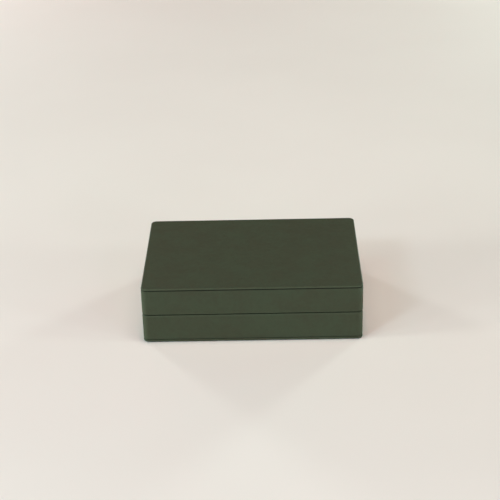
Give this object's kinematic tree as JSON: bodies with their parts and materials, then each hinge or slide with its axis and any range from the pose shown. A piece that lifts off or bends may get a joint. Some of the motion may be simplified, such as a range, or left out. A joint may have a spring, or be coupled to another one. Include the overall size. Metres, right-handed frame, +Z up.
{
  "type": "playing card box",
  "caption": "Leather-covered box for playing card decks, with a hinged lid, suede-lined wells and brass stop hinges.",
  "frame": {"origin": "middle of the box's resting face, on the surface it stands on, under the centre of the leather-covered body without its hinge barrels", "axes": "+Z up, +X along the long side to the right seen from the front, -Y towards the opening side, +Y towards the hinges"},
  "size_m": [0.152, 0.1135, 0.0417],
  "materials": {
    "green_leather": "smooth dark green leather with a fine grain, low sheen",
    "lining_suede": "tan microsuede",
    "foot_suede": "dark green suede",
    "fibreboard": "raw fibreboard, hidden under the covering",
    "hinge_brass": "satin brass",
    "screw_brass": "satin brass",
    "magnet_nickel": "nickel-plated"
  },
  "bodies": {
    "base": {"base_front_wall": "fibreboard", "base_back_wall": "fibreboard", "base_left_wall": "fibreboard", "base_right_wall": "fibreboard", "base_bottom_board": "fibreboard", "base_side_leather": "green_leather", "base_bottom_leather": "green_leather", "foot_sheet": "foot_suede", "base_front_lining": "lining_suede", "base_back_lining": "lining_suede", "base_left_lining": "lining_suede", "base_right_lining": "lining_suede", "deck_divider": "lining_suede", "left_well_pad": "lining_suede", "right_well_pad": "lining_suede", "base_magnets": "magnet_nickel", "left_hinge_lower_leaf": "hinge_brass", "right_hinge_lower_leaf": "hinge_brass", "left_hinge_pin": "hinge_brass", "right_hinge_pin": "hinge_brass", "base_hinge_screws": "screw_brass"},
    "lid": {"lid_front_wall": "fibreboard", "lid_back_wall": "fibreboard", "lid_left_wall": "fibreboard", "lid_right_wall": "fibreboard", "lid_top_board": "fibreboard", "lid_side_leather": "green_leather", "lid_top_leather": "green_leather", "lid_front_lining": "lining_suede", "lid_back_lining": "lining_suede", "lid_left_lining": "lining_suede", "lid_right_lining": "lining_suede", "lid_pad": "lining_suede", "lid_magnets": "magnet_nickel", "left_hinge_upper_leaf": "hinge_brass", "right_hinge_upper_leaf": "hinge_brass", "lid_hinge_screws": "screw_brass"}
  },
  "joints": [
    {"name": "lid_hinge", "type": "hinge", "parent": "base", "child": "lid", "pos_m": [0, 0.05655, 0.02155], "axis": [-1, 0, 0], "range_deg": [0, 100]}
  ]
}
